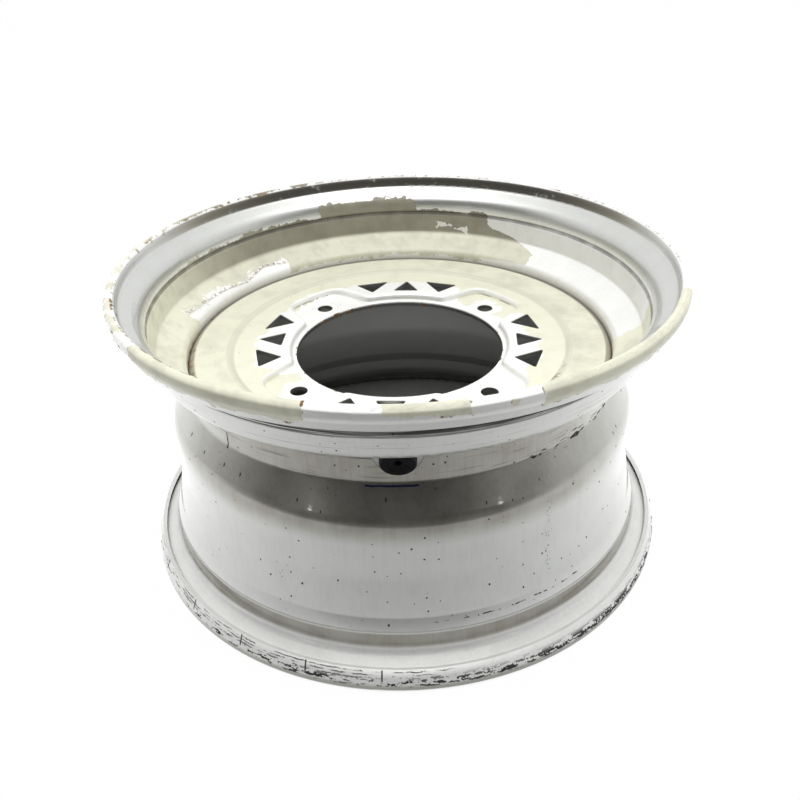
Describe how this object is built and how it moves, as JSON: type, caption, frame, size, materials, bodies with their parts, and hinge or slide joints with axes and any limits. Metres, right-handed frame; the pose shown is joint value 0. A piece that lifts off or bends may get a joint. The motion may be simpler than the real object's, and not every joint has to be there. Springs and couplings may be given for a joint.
{
  "type": "all-terrain vehicle wheel rim",
  "caption": "Pressed steel wheel rim for an all-terrain vehicle: hemmed barrel with a drop well, welded disc with wide bore, sunk bolt pads and triangular vents, and a snap-in tyre valve.",
  "frame": {"origin": "middle of the floor plane that the inner flange rests on, on the wheel's axis", "axes": "+Z along the wheel's axis towards the outer, dished face; -Y towards the tyre valve"},
  "size_m": [0.337, 0.337, 0.1806],
  "materials": {
    "barrel_paint": "silver satin paint, with worn cream paint on the dish side",
    "disc_paint": "cream paint, flaked to white round the bore",
    "weld_paint": "silver paint over a weld bead",
    "valve_rubber": "matt black rubber",
    "valve_brass": "turned brass",
    "core_gasket_plastic": "matt plastic ring",
    "spring_steel": "bright spring wire"
  },
  "bodies": {
    "wheel": {"rim_barrel": "barrel_paint", "wheel_disc": "disc_paint", "disc_weld": "weld_paint", "valve_body": "valve_rubber", "valve_stem": "valve_brass", "core_plug": "valve_brass", "core_barrel": "valve_brass", "core_gasket": "core_gasket_plastic", "core_spring": "spring_steel"},
    "valve_pin": {"core_pin": "valve_brass", "core_seal": "valve_rubber"}
  },
  "joints": [
    {"name": "valve_pin_press", "type": "slide", "parent": "wheel", "child": "valve_pin", "axis": [0.0564, -0.9494, -0.309], "range_m": [0, 0.0015], "stiffness_N_per_m": 1500, "springref_m": -0.0013, "deforming": ["core_spring"]}
  ]
}
